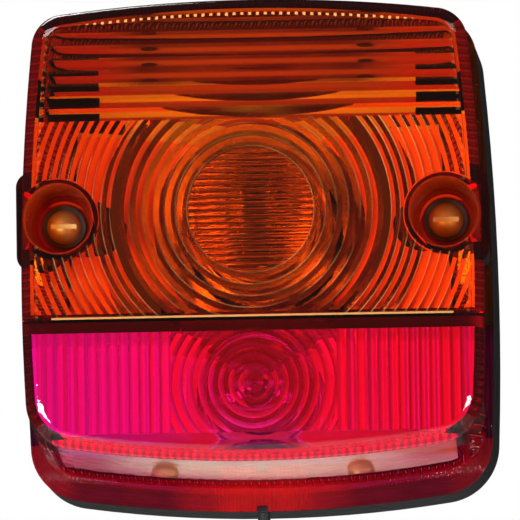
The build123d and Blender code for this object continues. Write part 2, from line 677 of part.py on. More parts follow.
def earth_strip():
    """Strip that lies on the two socket cups and touches both shells, with a blade in the middle."""
    low = STOP_HEIGHT + SOCKET_OUTER
    high = INDICATOR_HEIGHT - SOCKET_OUTER
    half = STRIP_WIDTH / 2
    strip = block(-half, half, low - half, high + half, CUP_HEIGHT, CUP_HEIGHT + STRIP_THICKNESS)
    strip -= [Pos(0, height, 0) * rod(SOCKET_OUTER, 0, FAR) for height in BULB_HEIGHTS]
    middle = (low + high) / 2
    blade = block(-half, half, middle, middle + STRIP_THICKNESS, BACK_WALL, CUP_HEIGHT + STRIP_THICKNESS)
    return strip + blade


def bulb_cap(height):
    """Metal cap with its two bayonet pins."""
    cap = ring(CAP_RADIUS, CAP_RADIUS - CAP_WALL, CAP_BACK, CAP_FRONT)
    pin = rod(PIN_RADIUS, CAP_RADIUS - CAP_WALL, CAP_RADIUS + PIN_REACH)
    pin = Pos(0, 0, PIN_HEIGHT) * Rot(0, 90, 0) * pin
    cap += [pin, Rot(0, 0, 180) * pin]
    return Pos(0, height, 0) * cap


def bulb_base(height):
    """Insulating foot of the bulb, inside the cap and tapering behind it."""
    inside = CAP_RADIUS - CAP_WALL
    foot = turned(
        [
            (0, CAP_BACK - BASE_NOSE),
            (BASE_TAPER_RADIUS, CAP_BACK - BASE_NOSE),
            (inside, CAP_BACK),
            (inside, CAP_FRONT - GLASS_NECK_DEPTH),
            (0, CAP_FRONT - GLASS_NECK_DEPTH),
        ]
    )
    return Pos(0, height, 0) * foot


def bulb_contacts(height, places):
    """Solder contacts under the foot."""
    contact = rod(CONTACT_RADIUS, CONTACT_TIP, CAP_BACK - BASE_NOSE)
    return [Pos(x, height, 0) * contact for x in places]


def bulb_glass(height):
    """Blown envelope with its neck in the cap and a pinched stem that carries the filament leads."""
    globe_centre = GLASS_TIP - GLASS_RADIUS
    neck_back = CAP_FRONT - GLASS_NECK_DEPTH
    neck_inner = GLASS_NECK_RADIUS - GLASS_WALL
    inner_radius = GLASS_RADIUS - GLASS_WALL
    shoulder = globe_centre - sqrt(GLASS_RADIUS**2 - GLASS_NECK_RADIUS**2)
    inner_shoulder = globe_centre - sqrt(inner_radius**2 - neck_inner**2)
    envelope = rod(GLASS_NECK_RADIUS, neck_back, shoulder)
    envelope += Pos(0, 0, globe_centre) * Sphere(GLASS_RADIUS)
    envelope -= rod(neck_inner, neck_back + GLASS_WALL, inner_shoulder)
    envelope -= Pos(0, 0, globe_centre) * Sphere(inner_radius)
    stem = turned(
        [(0, neck_back), (STEM_RADIUS, neck_back), (STEM_TIP_RADIUS, STEM_TOP), (0, STEM_TOP)]
    )
    return Pos(0, height, 0) * (envelope + stem)


def filament(height, offset, rise):
    """Coil on two leads that stand on the stem."""
    half = FILAMENT_LENGTH / 2
    top = FILAMENT_HEIGHT + rise
    coil = Rot(0, 90, 0) * rod(FILAMENT_RADIUS, -half, half)
    coil = Pos(0, 0, top) * coil
    foot = STEM_TIP_RADIUS / 2
    tilt = degrees(atan2(half - foot, top - STEM_TOP))
    length = hypot(half - foot, top - STEM_TOP)
    lead = Pos(foot, 0, STEM_TOP) * Rot(0, tilt, 0) * rod(LEAD_RADIUS, -LEAD_RADIUS, length)
    lead &= block(0, FAR, -FAR, FAR, STEM_TOP, FAR)
    return Pos(0, height + offset, 0) * (coil + mirrored(lead))


def write(name, shape):
    """Stand a piece upright and write it, as one compound where it is a group of like solids."""
    solids = shape if isinstance(shape, list) else [shape]
    solids = [solid for group in solids for solid in group.solids()]
    upright = [UPRIGHT.location * solid for solid in solids]
    export_step(Compound(children=upright) if len(upright) > 1 else upright[0], f"parts/{name}.step")


def main():
    os.makedirs("parts", exist_ok=True)
    amber, red, window = lens_pieces()
    write("amber_lens", amber)
    write("red_lens", red)
    write("plate_window", window)
    write("housing", housing())
    write("lens_gasket", lens_gasket())
    write("reflector", reflector())
    write("lens_screws", lens_screws())
    write("lens_screw_washers", lens_screw_washers())
    write("reflector_screws", reflector_screws())
    write("mounting_studs", mounting_studs())
    write("cable_grommet", cable_grommet())
    write("indicator_contact", Pos(0, INDICATOR_HEIGHT, 0) * mirror(spring_strip(0), Plane.YZ))
    write("stop_contact", Pos(0, STOP_HEIGHT, 0) * mirror(spring_strip(TAIL_CONTACT_OFFSET), Plane.YZ))
    write("tail_contact", Pos(0, STOP_HEIGHT, 0) * spring_strip(TAIL_CONTACT_OFFSET))
    write("contact_rivets", contact_rivets())
    write("earth_strip", earth_strip())
    bulbs = (
        ("indicator", INDICATOR_HEIGHT, [0]),
        ("stop_tail", STOP_HEIGHT, [-TAIL_CONTACT_OFFSET, TAIL_CONTACT_OFFSET]),
    )
    for light, height, contacts in bulbs:
        write(f"{light}_socket", socket(height))
        write(f"{light}_bulb_cap", bulb_cap(height))
        write(f"{light}_bulb_base", bulb_base(height))
        write(f"{light}_bulb_glass", bulb_glass(height))
        write(f"{light}_bulb_contacts", bulb_contacts(height, contacts))
    write("indicator_bulb_filament", filament(INDICATOR_HEIGHT, 0, 0))
    rises = (-FILAMENT_OFFSET, FILAMENT_OFFSET)
    write("stop_tail_bulb_filaments", [filament(STOP_HEIGHT, rise, rise) for rise in rises])


main()
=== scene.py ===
import json
import math

import bpy
from mathutils import Matrix, Vector

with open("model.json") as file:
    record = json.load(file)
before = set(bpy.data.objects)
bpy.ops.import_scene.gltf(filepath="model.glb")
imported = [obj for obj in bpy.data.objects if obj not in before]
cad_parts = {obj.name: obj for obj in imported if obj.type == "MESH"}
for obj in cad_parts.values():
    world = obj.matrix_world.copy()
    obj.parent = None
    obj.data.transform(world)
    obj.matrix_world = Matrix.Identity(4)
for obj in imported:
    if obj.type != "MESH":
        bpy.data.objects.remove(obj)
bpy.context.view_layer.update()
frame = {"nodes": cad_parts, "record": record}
scene = bpy.context.scene

MM = 0.001

# Camera: a long lens, a little below the lamp and to its right, as in the photograph
FRONT = -66.0
TARGET = Vector((1.8, FRONT, -3.0)) * MM
DISTANCE = 1.5
AZIMUTH = math.radians(2.5)
ELEVATION = math.radians(-5.0)
ROLL = math.radians(0.85)
PIXELS_PER_MM = 4.97
IMAGE_WIDTH = 520
SENSOR = 36.0

# Walls and flange of the lens, in millimetres from the frame's origin
WALL_SIDE = 40.5
WALL_TOP = 45.5
WALL_BOTTOM = -37.5
WALL_RIB_PITCH = 1.57
WALL_RIB_DEPTH = 0.35
FLANGE_FACE = -31.2
FLANGE_RIB_PITCH = 0.8
# Middle and corners of the flange, where its scatter is raised as painted light
FLANGE_MIDDLE = 6.0
FLANGE_MIDDLE_END = 20.0
FLANGE_CORNER = 34.0
FLANGE_CORNER_END = 41.0
SPLIT = -14.3
SPLIT_EDGE = 0.4
JOINT = -60.6
JOINT_REACH = 0.2

# Screw wells of the lens
WELL_X = 39.0
WELL_Z = 6.2
WELL_REACH = 11.0
WELL_RADIUS = 8.0
WELL_SEAT = -45.0
WELL_SEAT_RADIUS = 5.4
WELL_SLOPE = 0.076
WELL_WALL = 1.4
WELL_SKIN = 0.3

# Rings and flutes on the inner face of the lens
INNER_FACE = -63.4
RELIEF_BACK = -60.9
BOWL_Z = 7.4
DISC_RADIUS = 12.7
INNER_PITCH = 2.35
STEP_START = 26.8
OUTER_START = 28.3
OUTER_PITCH = 1.8
FLUTE_BOTTOM = 26.0
FLUTE_STEP = 2.57
FLUTE_MIDDLE = 22.0
FLUTE_END = 31.0
BAND_TOP = 32.4
BAND_TOP_END = 33.2

# Rings and ribs of the red lens
STOP_Z = -27.5
RED_START = 2.0
RED_PITCH = 2.05
RED_CENTRE = 16.8
RED_TOP = -16.9
RED_BOTTOM = -37.4
RIBS_END = 44.2
CORNER_END = 77.6

# Reflector behind the lens, with the zones of painted light and painted shade on its coat. EDGE_BOW is per
# metre.
BOWL_RADIUS = 27.4
PAINTED_SHADE_START = 34.0
TOP_MIDDLE = 22.0
TOP_END = 32.0
BAND_BOTTOM = 29.0
DIVIDER_EDGE = -53.6
LOW_EDGE = -38.0
LOW_SHADE_EDGE = -43.2
EDGE_BOW = 2.2
COOL_LIGHT_END = -32.0
WARM_LIGHT_START = -13.0

# Slopes of a face: the part of its normal that points forwards, or up at the rim
UPRIGHT = 0.45
LEVEL = 0.8
RED_LEVEL = 0.3
RIM_TILT = 0.2
RIM_REACH = 0.06

# Shares of painted shade along the relief, round the wells, on the top rim, on the web and below the red
# ribs
INNER_RING_DARK = 0.5
OUTER_RING_DARK = 0.35
STEP_DARK = 0.75
FLUTE_DARK = 0.92
FLUTE_END_SHARE = 0.25
BAND_SHARE = 0.35
WELL_DARK = 0.85
TOP_RIM_DARK = 0.7
RED_RING_DARK = 0.5
RED_RIB_DARK = 0.5
RED_LEFT_SHARE = 0.5
RED_EDGE_DARK = 0.35
WEB_DARK = 0.6

# Shares of painted glint, of frosting with painted pink light, and of scattered light, with painted light in
# the flange's middle and corners
INNER_GLINT = 0.12
OUTER_GLINT = 0.26
SPLIT_GLINT = 0.45
TOP_DOT_GLINT = 0.6
SIDE_TICK_GLINT = 0.06
GLINT_WIDTH = 0.12
TOP_DOT_START = 0.4
SIDE_TICK_START = 0.3
RIB_FROST = 0.5
RING_FROST = 0.25
FROST_PASSED = 0.2
PAINTED_PINK_LEFT = 0.9
PAINTED_PINK_RIGHT = 0.1
PINK_CHANCE = 0.35
JOINT_SCATTER = 0.85
WELL_SCATTER = 0.4
SCATTER_PASSED = 0.5
RIB_VALLEY_SCATTER = 0.35
FLANGE_SIDE_SCATTER = 0.22
FLANGE_CORNER_SCATTER = 0.45

# Acrylic, and the fine surface of the other materials
ACRYLIC_IOR = 1.49
GLASS_IOR = 1.5
DENSITY = 1300.0
PEEL = 0.04
FLANGE_RIB_HEIGHT = 0.2
GRAIN = 300.0
GRAIN_DEPTH = 0.05

WHITE = (1, 1, 1, 1)
GLASS_PASSED = (0.97, 0.97, 0.97, 1)
FACE_PASSED = (0.99, 0.99, 0.99, 1)
WALL_PASSED = (0.62, 0.62, 0.62, 1)
# Colour of the painted shade laid over the lens
LENS_PAINTED_SHADE = (0.05, 0.004, 0.002, 1)
# Colour of the painted golden glints
PAINTED_GLINT = (1.0, 0.48, 0.14, 1)
FROST_RED = (0.95, 0.01, 0.05, 1)
# Painted pink light on the frosted red ribs
PAINTED_PINK_LIGHT = (0.95, 0.05, 1.0, 1)
FLANGE_SCATTERED = (0.8, 0.02, 0.02, 1)
AMBER_SCATTERED = (0.75, 0.05, 0.01, 1)
RED_SCATTERED = (0.8, 0.02, 0.2, 1)
AMBER_ABSORBED = (0.995, 0.77, 0.03, 1)
RED_ABSORBED = (0.997, 0.1, 0.83, 1)
BOWL_METAL = (0.56, 0.39, 0.27, 1)
# Painted shade at the reflector's divider edge and low edge
EDGE_PAINTED_SHADE = (0.008, 0.008, 0.01, 1)
# Painted light and painted shade on the reflector's satin coat, zone by zone
AMBER_CHAMBER_PAINTED_LIGHT = (0.97, 0.34, 0.26, 1)
RED_CHAMBER_PAINTED_COOL_LIGHT = (0.95, 0.92, 0.96, 1)
RED_CHAMBER_PAINTED_WARM_LIGHT = (0.85, 0.72, 0.11, 1)
BAND_PAINTED_LIGHT = (0.8, 0.95, 0.82, 1)
LOW_EDGE_PAINTED_LIGHT = (0.97, 0.88, 0.6, 1)
TOP_PAINTED_SHADE = (0.34, 0.13, 0.1, 1)
TOP_END_PAINTED_SHADE = (0.45, 0.06, 0.04, 1)

# Name, place and size in metres, and power of each softbox
SOFTBOXES = (
    ("key_softbox", (-0.8, -0.95, 0.85), (0.8, 0.5), 9.0),
    ("fill_softbox", (0.85, -0.9, 0.8), (0.7, 0.5), 2.5),
    ("low_left_softbox", (-0.65, -1.1, -0.13), (0.6, 0.2), 14.5),
    ("low_right_softbox", (0.7, -1.05, -0.16), (0.5, 0.2), 7.5),
    ("back_softbox", (-0.5, 0.9, 1.1), (0.7, 0.5), 6.0),
)
LAMP_MIDDLE = Vector((0, -0.03, 0))
FLOOR_HALF = 1.0
FLOOR_LEVEL = -0.6


class Shader:
    """A node material, or the world, that is put together one node at a time."""

    def __init__(self, owner):
        owner.use_nodes = True
        self.tree = owner.node_tree
        self.tree.nodes.clear()

    def connect(self, value, socket):
        """Link another node's output to a socket, or set the socket to a plain value."""
        if isinstance(value, bpy.types.NodeSocket):
            self.tree.links.new(value, socket)
        else:
            socket.default_value = value

    def add(self, kind, sockets=None, **settings):
        """Add a node with these settings, and connect some of its sockets."""
        node = self.tree.nodes.new(kind)
        for name, value in settings.items():
            setattr(node, name, value)
        for name, value in (sockets or {}).items():
            self.connect(value, node.inputs[name])
        return node

    def math(self, operation, *values):
        return self.add("ShaderNodeMath", dict(enumerate(values)), operation=operation).outputs[0]

    def minus(self, first, second):
        return self.math("SUBTRACT", first, second)

    def times(self, *values):
        """Multiply any number of values."""
        product = values[0]
        for value in values[1:]:
            product = self.math("MULTIPLY", product, value)
        return product

    def size(self, value):
        """A value without its sign."""
        return self.math("ABSOLUTE", value)

    def larger(self, first, second):
        return self.math("MAXIMUM", first, second)

    def above(self, value, limit):
        """1 where a value is over a limit, and 0 elsewhere."""
        return self.math("GREATER_THAN", value, limit)

    def below(self, value, limit):
        """1 where a value is under a limit, and 0 elsewhere."""
        return self.math("LESS_THAN", value, limit)

    def place(self):
        """Where a point is in the frame, in metres."""
        return self.add("ShaderNodeTexCoord").outputs["Object"]

    def parts(self, vector):
        """The x, y and z of a vector."""
        return self.add("ShaderNodeSeparateXYZ", {0: vector}).outputs

    def distance(self, x, z, centre_x, centre_z):
        """How far a point is from an axis along Y."""
        width = self.math("POWER", self.minus(x, centre_x * MM), 2.0)
        height = self.math("POWER", self.minus(z, centre_z * MM), 2.0)
        return self.math("SQRT", self.math("ADD", width, height))

    def steps(self, value, start, pitch):
        """How many pitches a value is past a start."""
        return self.math("DIVIDE", self.minus(value, start * MM), pitch * MM)

    def wave(self, value, pitch):
        """Sine that repeats at each pitch."""
        return self.math("SINE", self.times(value, math.tau / (pitch * MM)))

    def noise(self, scale, detail=2.0):
        texture = self.add("ShaderNodeTexNoise", {"Vector": self.place(), "Scale": scale, "Detail": detail})
        return texture.outputs["Fac"]

    def spread(self, value, low, high, start=0.3, end=0.7):
        """Map a range of a value, by default the usual range of noise, to another."""
        sockets = {"Value": value, "From Min": start, "From Max": end, "To Min": low, "To Max": high}
        return self.add("ShaderNodeMapRange", sockets).outputs["Result"]

    def pick(self, share, low, high):
        """Map a share from 0 to 1 to a range."""
        return self.spread(share, low, high, 0.0, 1.0)

    def mix(self, share, first, second):
        """A number from the first to the second."""
        return self.add("ShaderNodeMix", {0: share, 2: first, 3: second}).outputs[0]

    def blend(self, share, first, second):
        """A colour from the first to the second."""
        return self.add("ShaderNodeMix", {0: share, 6: first, 7: second}, data_type="RGBA").outputs[2]

    def layer(self, share, first, second):
        """A shader from the first to the second."""
        return self.add("ShaderNodeMixShader", {0: share, 1: first, 2: second}).outputs[0]

    def bump(self, height, strength, depth):
        sockets = {"Height": height, "Strength": strength, "Distance": depth * MM}
        return self.add("ShaderNodeBump", sockets).outputs["Normal"]

    def principled(self, sockets):
        return self.add("ShaderNodeBsdfPrincipled", sockets).outputs[0]

    def diffuse(self, colour):
        return self.add("ShaderNodeBsdfDiffuse", {"Color": colour}).outputs[0]

    def scatter(self, passed, sockets):
        """Matt surface that throws light back and lets a share of it pass."""
        thrown = self.add("ShaderNodeBsdfDiffuse", sockets).outputs[0]
        through = self.add("ShaderNodeBsdfTranslucent", sockets).outputs[0]
        return self.layer(passed, thrown, through)

    def open_to_shadow_rays(self, body, let_through):
        """Let light through on its way to what is behind, less what a face turns away."""
        through = self.add("ShaderNodeBsdfTransparent", {"Color": let_through}).outputs[0]
        return self.layer(self.add("ShaderNodeLightPath").outputs["Is Shadow Ray"], body, through)

    def surface(self, shader):
        out = self.add("ShaderNodeOutputMaterial")
        self.connect(shader, out.inputs["Surface"])
        return out


class Lens(Shader):
    """Shader of a lens, with the places on it that its looks depend on."""

    def __init__(self, owner):
        super().__init__(owner)
        self.x, self.y, self.z = self.parts(self.place())
        self.side = self.size(self.x)
        self.at_side = self.above(self.side, WALL_SIDE * MM)
        self.inside = self.below(self.side, WALL_SIDE * MM)
        self.at_bottom = self.below(self.z, WALL_BOTTOM * MM)
        self.at_top = self.above(self.z, WALL_TOP * MM)
        self.on_flange = self.above(self.y, FLANGE_FACE * MM)
        self.behind_face = self.above(self.y, INNER_FACE * MM)
        self.before_back = self.below(self.y, RELIEF_BACK * MM)
        self.from_well = self.distance(self.side, self.z, WELL_X, WELL_Z)

        geometry = self.add("ShaderNodeNewGeometry").outputs
        self.normal = geometry["Normal"]
        self.across, out, self.up = self.parts(geometry["True Normal"])
        self.slope = self.size(out)
        self.upright = self.below(self.slope, UPRIGHT)
        outwards = self.math("ADD", self.times(self.x, self.across), self.times(self.z, self.up))
        facing = self.minus(1.0, self.times(geometry["Backfacing"], 2.0))
        self.inner = self.below(self.times(outwards, facing), 0.0)


def new_material(name, kind=Shader):
    material = bpy.data.materials.new(name)
    return material, kind(material)


def clear_material(name, ior, rough):
    """Clear glass. Shadow rays go through it."""
    material, shader = new_material(name)
    body = shader.principled(
        {
            "Base Color": WHITE,
            "IOR": ior,
            "Transmission Weight": 1.0,
            "Roughness": shader.spread(shader.noise(220.0), 0.5 * rough, 1.5 * rough),
        }
    )
    shader.surface(shader.open_to_shadow_rays(body, GLASS_PASSED))
    return material


def wall_ribs(lens, ribs):
    """Where the ribs of the walls are, their wave, and the normal that they and the flange give."""
    at_wall = lens.larger(lens.at_side, lens.larger(lens.at_bottom, lens.at_top))
    clear_of_well = lens.above(lens.from_well, WELL_REACH * MM)
    on_wall = lens.times(lens.inner, lens.upright, clear_of_well, at_wall, ribs)
    sideways = lens.above(lens.size(lens.across), lens.size(lens.up))
    along = lens.mix(sideways, lens.x, lens.z)
    wave = lens.wave(along, WALL_RIB_PITCH)
    fine = lens.times(lens.wave(along, FLANGE_RIB_PITCH), lens.on_flange, FLANGE_RIB_HEIGHT)
    peel = lens.times(lens.noise(400.0), PEEL)
    height = lens.math("ADD", lens.math("ADD", lens.times(wave, on_wall), peel), fine)
    return on_wall, wave, lens.bump(height, 1.0, WALL_RIB_DEPTH)


def scatter_share(lens, on_wall, wave, side_share=0.0, bottom_share=0.0, flange_share=0.0):
    """Share of light that the ribs of the walls, the window's joint and the flange scatter; the flange's
    larger share in its middle and corners is painted light.
    """
    lit = lens.larger(lens.times(lens.at_side, side_share), lens.times(lens.at_bottom, bottom_share))
    from_joint = lens.size(lens.minus(lens.y, JOINT * MM))
    joint = lens.times(lens.below(from_joint, JOINT_REACH * MM), lens.at_bottom, JOINT_SCATTER)
    ribbed = lens.spread(wave, RIB_VALLEY_SCATTER, 1.0, -1.0, 1.0)
    share = lens.times(lens.larger(lens.times(on_wall, lit), joint), ribbed)
    # The flange scatters more in its middle and at its corners: painted light
    middle = lens.spread(lens.side, 1.0, FLANGE_SIDE_SCATTER, FLANGE_MIDDLE * MM, FLANGE_MIDDLE_END * MM)
    corner = lens.spread(lens.side, 0.0, FLANGE_CORNER_SCATTER, FLANGE_CORNER * MM, FLANGE_CORNER_END * MM)
    flange = lens.times(lens.larger(middle, corner), flange_share, lens.on_flange, lens.at_bottom)
    mottled = lens.spread(lens.noise(120.0, 3.0), 0.6, 1.0)
    return lens.larger(share, lens.times(flange, mottled))


def lens_body(lens, share, scattered, normal):
    """Clear acrylic that scatters a share of the light."""
    glass = lens.principled(
        {
            "Base Color": WHITE,
            "IOR": ACRYLIC_IOR,
            "Transmission Weight": 1.0,
            "Roughness": lens.spread(lens.noise(220.0), 0.01, 0.03),
            "Normal": normal,
        }
    )
    tone = lens.blend(lens.on_flange, scattered, FLANGE_SCATTERED)
    return lens.layer(share, glass, lens.scatter(SCATTER_PASSED, {"Color": tone, "Normal": normal}))


def finish_lens(lens, body, dark, ribs, absorbed=None):
    """Lay painted shade over a share of the lens and over its top rim, and colour it by its thickness."""
    # Painted shade on the flange's top rim
    painted_shade_on_top_rim = lens.times(lens.on_flange, lens.at_top, TOP_RIM_DARK)
    body = lens.layer(lens.larger(dark, painted_shade_on_top_rim), body, lens.diffuse(LENS_PAINTED_SHADE))
    let_through = lens.blend(lens.times(lens.upright, ribs), FACE_PASSED, WALL_PASSED)
    out = lens.surface(lens.open_to_shadow_rays(body, let_through))
    if absorbed:
        volume = lens.add("ShaderNodeVolumeAbsorption", {"Color": absorbed, "Density": DENSITY})
        lens.connect(volume.outputs[0], out.inputs["Volume"])


def flute_painted_shade(lens):
    """Share of painted shade between the level flutes, most of it away from the sides."""
    row = lens.math("FRACT", lens.steps(lens.z, FLUTE_BOTTOM, FLUTE_STEP))
    between = lens.spread(lens.size(lens.minus(row, 0.5)), 0.0, FLUTE_DARK, 0.1, 0.3)
    middle = lens.spread(lens.side, 1.0, FLUTE_END_SHARE, FLUTE_MIDDLE * MM, FLUTE_END * MM)
    above_band = lens.spread(lens.z, BAND_SHARE, 1.0, BAND_TOP * MM, BAND_TOP_END * MM)
    uneven = lens.spread(lens.noise(45.0), 0.6, 1.0)
    return lens.times(between, middle, above_band, uneven)


def ring_painted_glint_and_shade(lens):
    """Shares of painted glint and of painted shade along the rings, with a painted glint along the lens's
    lower edge.
    """
    radius = lens.distance(lens.x, lens.z, 0.0, BOWL_Z)
    is_outer = lens.above(radius, OUTER_START * MM)
    inner = lens.steps(radius, DISC_RADIUS, INNER_PITCH)
    outer = lens.steps(radius, OUTER_START, OUTER_PITCH)
    phase = lens.math("FRACT", lens.mix(is_outer, inner, outer))
    before_step = lens.below(radius, STEP_START * MM)
    on_step = lens.minus(lens.minus(1.0, is_outer), before_step)
    on_rings = lens.minus(lens.above(radius, DISC_RADIUS * MM), on_step)
    below_flutes = lens.below(lens.z, FLUTE_BOTTOM * MM)
    level = lens.above(lens.slope, LEVEL)

    # Painted shade in the ring valleys and on the step
    valley = lens.times(lens.spread(phase, 1.0, 0.0, 0.1, 0.5), on_rings)
    valley = lens.times(valley, lens.pick(is_outer, INNER_RING_DARK, OUTER_RING_DARK))
    ring_dark = lens.larger(valley, lens.times(on_step, STEP_DARK))
    on_relief = lens.times(lens.behind_face, level, lens.inside, lens.before_back)
    dark = lens.times(lens.mix(below_flutes, flute_painted_shade(lens), ring_dark), on_relief)

    # Painted glints: thin golden lines on the ring crests, broken up at random, and along the lens's lower
    # edge
    off_well = lens.above(lens.from_well, WELL_RADIUS * MM)
    thin = lens.times(lens.below(phase, GLINT_WIDTH), on_rings, off_well, below_flutes)
    glint_breakup = lens.spread(lens.noise(60.0, 3.0), 0.0, 1.0, 0.4, 0.65)
    glint = lens.times(thin, glint_breakup, lens.pick(is_outer, INNER_GLINT, OUTER_GLINT))
    at_split = lens.below(lens.z, (SPLIT + SPLIT_EDGE) * MM)
    glint = lens.larger(glint, lens.times(at_split, SPLIT_GLINT))
    at_front = lens.times(lens.minus(1.0, lens.behind_face), lens.inside, level)
    return lens.times(glint, at_front), dark


def rim_painted_glint(lens):
    """Share of painted glint where the ribs end at the front edge: dots along the top, fainter at the sides.
    """
    across, _, up = lens.parts(lens.normal)
    on_top = lens.below(lens.size(lens.minus(up, RIM_TILT)), RIM_REACH)
    dots = lens.above(lens.wave(lens.x, WALL_RIB_PITCH), TOP_DOT_START)
    top = lens.times(on_top, lens.at_top, dots, TOP_DOT_GLINT)
    on_side = lens.below(lens.size(lens.minus(lens.size(across), RIM_TILT)), RIM_REACH)
    ticks = lens.above(lens.wave(lens.z, WALL_RIB_PITCH), SIDE_TICK_START)
    side = lens.times(on_side, lens.at_side, ticks, SIDE_TICK_GLINT)
    return lens.times(lens.larger(top, side), lens.before_back, lens.above(lens.z, SPLIT * MM))


def amber_material():
    """Indicator lens: painted shade along its rings and flutes and round its wells, painted glints along its
    rings and front edge, and soft light in its wells.
    """
    material, lens = new_material("amber_plastic", Lens)
    on_wall, wave, normal = wall_ribs(lens, ribs=1.0)
    share = scatter_share(lens, on_wall, wave, side_share=0.6, bottom_share=0.1)
    depth = lens.minus(WELL_SEAT * MM, lens.y)
    cone = lens.math("ADD", lens.times(depth, WELL_SLOPE), WELL_SEAT_RADIUS * MM)
    past_cone = lens.minus(lens.from_well, cone)
    share = lens.larger(share, lens.times(lens.below(past_cone, WELL_SKIN * MM), WELL_SCATTER))
    body = lens_body(lens, share, AMBER_SCATTERED, normal)

    glint, dark = ring_painted_glint_and_shade(lens)
    body = lens.layer(lens.larger(glint, rim_painted_glint(lens)), body, lens.diffuse(PAINTED_GLINT))
    # Painted shade round each well, outside the cone of its bore
    near_well = lens.times(lens.upright, lens.below(lens.from_well, WELL_REACH * MM))
    painted_shade_round_well = lens.times(near_well, lens.above(past_cone, 0.5 * WELL_WALL * MM), WELL_DARK)
    finish_lens(lens, body, lens.larger(dark, painted_shade_round_well), 1.0, AMBER_ABSORBED)
    return material


def red_painted_shade(lens, at_ribs, stripe, chance, deep, relief):
    """Share of painted shade along the ribs and rings of the red lens, below them and on the web above them.
    """
    radius = lens.distance(lens.x, lens.z, 0.0, STOP_Z)
    ring = lens.math("FRACT", lens.steps(radius, RED_START, RED_PITCH))
    rings = lens.spread(ring, RED_RING_DARK, 0.0, 0.1, 0.6)
    from_middle = lens.size(lens.minus(lens.math("FRACT", stripe), 0.5))
    to_right = lens.spread(lens.x, RED_LEFT_SHARE, 1.0, -RED_CENTRE * MM, RED_CENTRE * MM)
    ribs = lens.times(lens.pick(chance, 0.0, RED_RIB_DARK), to_right)
    ribs = lens.times(ribs, lens.spread(from_middle, 1.0, 0.0, 0.1, 0.45))
    dark = lens.times(lens.mix(at_ribs, rings, ribs), relief)
    # Painted shade below the ribs, and on the web at the divide between the lenses
    under = lens.times(lens.below(lens.z, RED_BOTTOM * MM), deep, RED_EDGE_DARK)
    web = lens.times(lens.above(lens.z, RED_TOP * MM), lens.behind_face, lens.inside, WEB_DARK)
    return lens.larger(lens.larger(dark, under), web)


def red_frost(lens, at_ribs, chance, relief):
    """Share of frosting on the ribs and rings of the red lens, and its shader, with painted pink light
    towards the left.
    """
    before_wall = lens.below(lens.side, RIBS_END * MM)
    before_corner = lens.below(lens.minus(lens.side, lens.z), CORNER_END * MM)
    share = lens.times(relief, lens.pick(at_ribs, RING_FROST, RIB_FROST), before_wall, before_corner)
    # Painted pink light, strongest at the left, varied at random from rib to rib
    pink_light_to_left = lens.spread(lens.x, PAINTED_PINK_LEFT, PAINTED_PINK_RIGHT, -WALL_SIDE * MM, RED_CENTRE * MM)
    pink = lens.math("ADD", pink_light_to_left, lens.pick(chance, -PINK_CHANCE, PINK_CHANCE))
    tone = lens.blend(lens.times(pink, at_ribs), FROST_RED, PAINTED_PINK_LIGHT)
    return share, lens.scatter(FROST_PASSED, {"Color": tone})


def red_material():
    """Stop and tail lens: its ribs and rings are frosted, with painted pink light to the left and painted
    shade along them, and uneven from rib to rib.
    """
    material, lens = new_material("red_plastic", Lens)
    on_wall, wave, normal = wall_ribs(lens, ribs=1.0)
    share = scatter_share(lens, on_wall, wave, side_share=0.12, bottom_share=0.1, flange_share=0.75)
    body = lens_body(lens, share, RED_SCATTERED, normal)

    at_ribs = lens.above(lens.side, RED_CENTRE * MM)
    stripe = lens.steps(lens.x, RED_CENTRE, 0.5 * RED_PITCH)
    number = lens.math("FLOOR", stripe)
    chance = lens.add("ShaderNodeTexWhiteNoise", {"W": number}, noise_dimensions="1D").outputs["Value"]
    deep = lens.times(lens.behind_face, lens.above(lens.slope, RED_LEVEL), lens.before_back)
    relief = lens.times(deep, lens.above(lens.z, RED_BOTTOM * MM), lens.below(lens.z, RED_TOP * MM))
    frosted, frost = red_frost(lens, at_ribs, chance, relief)
    body = lens.layer(frosted, body, frost)
    dark = red_painted_shade(lens, at_ribs, stripe, chance, deep, relief)
    finish_lens(lens, body, dark, 1.0, RED_ABSORBED)
    return material


def window_material():
    """Clear acrylic with smooth walls and a ribbed joint to the red lens."""
    material, lens = new_material("clear_plastic", Lens)
    on_wall, wave, normal = wall_ribs(lens, ribs=0.0)
    body = lens_body(lens, scatter_share(lens, on_wall, wave), RED_SCATTERED, normal)
    finish_lens(lens, body, 0.0, 0.0)
    return material


def solid_material(name, colour, second, rough, metal=0.0, bump=0.1, shine=0.5):
    """Opaque material with a second tone, varied roughness and a fine surface."""
    material, shader = new_material(name)
    patches = shader.spread(shader.noise(GRAIN * 0.2, 4.0), 0.0, 1.0)
    body = shader.principled(
        {
            "Base Color": shader.blend(patches, colour + (1,), second + (1,)),
            "Metallic": metal,
            "Specular IOR Level": shine,
            "Roughness": shader.spread(shader.noise(GRAIN), 0.8 * rough, 1.2 * rough),
            "Normal": shader.bump(shader.noise(GRAIN * 4, 3.0), bump, GRAIN_DEPTH),
        }
    )
    shader.surface(body)
    return material


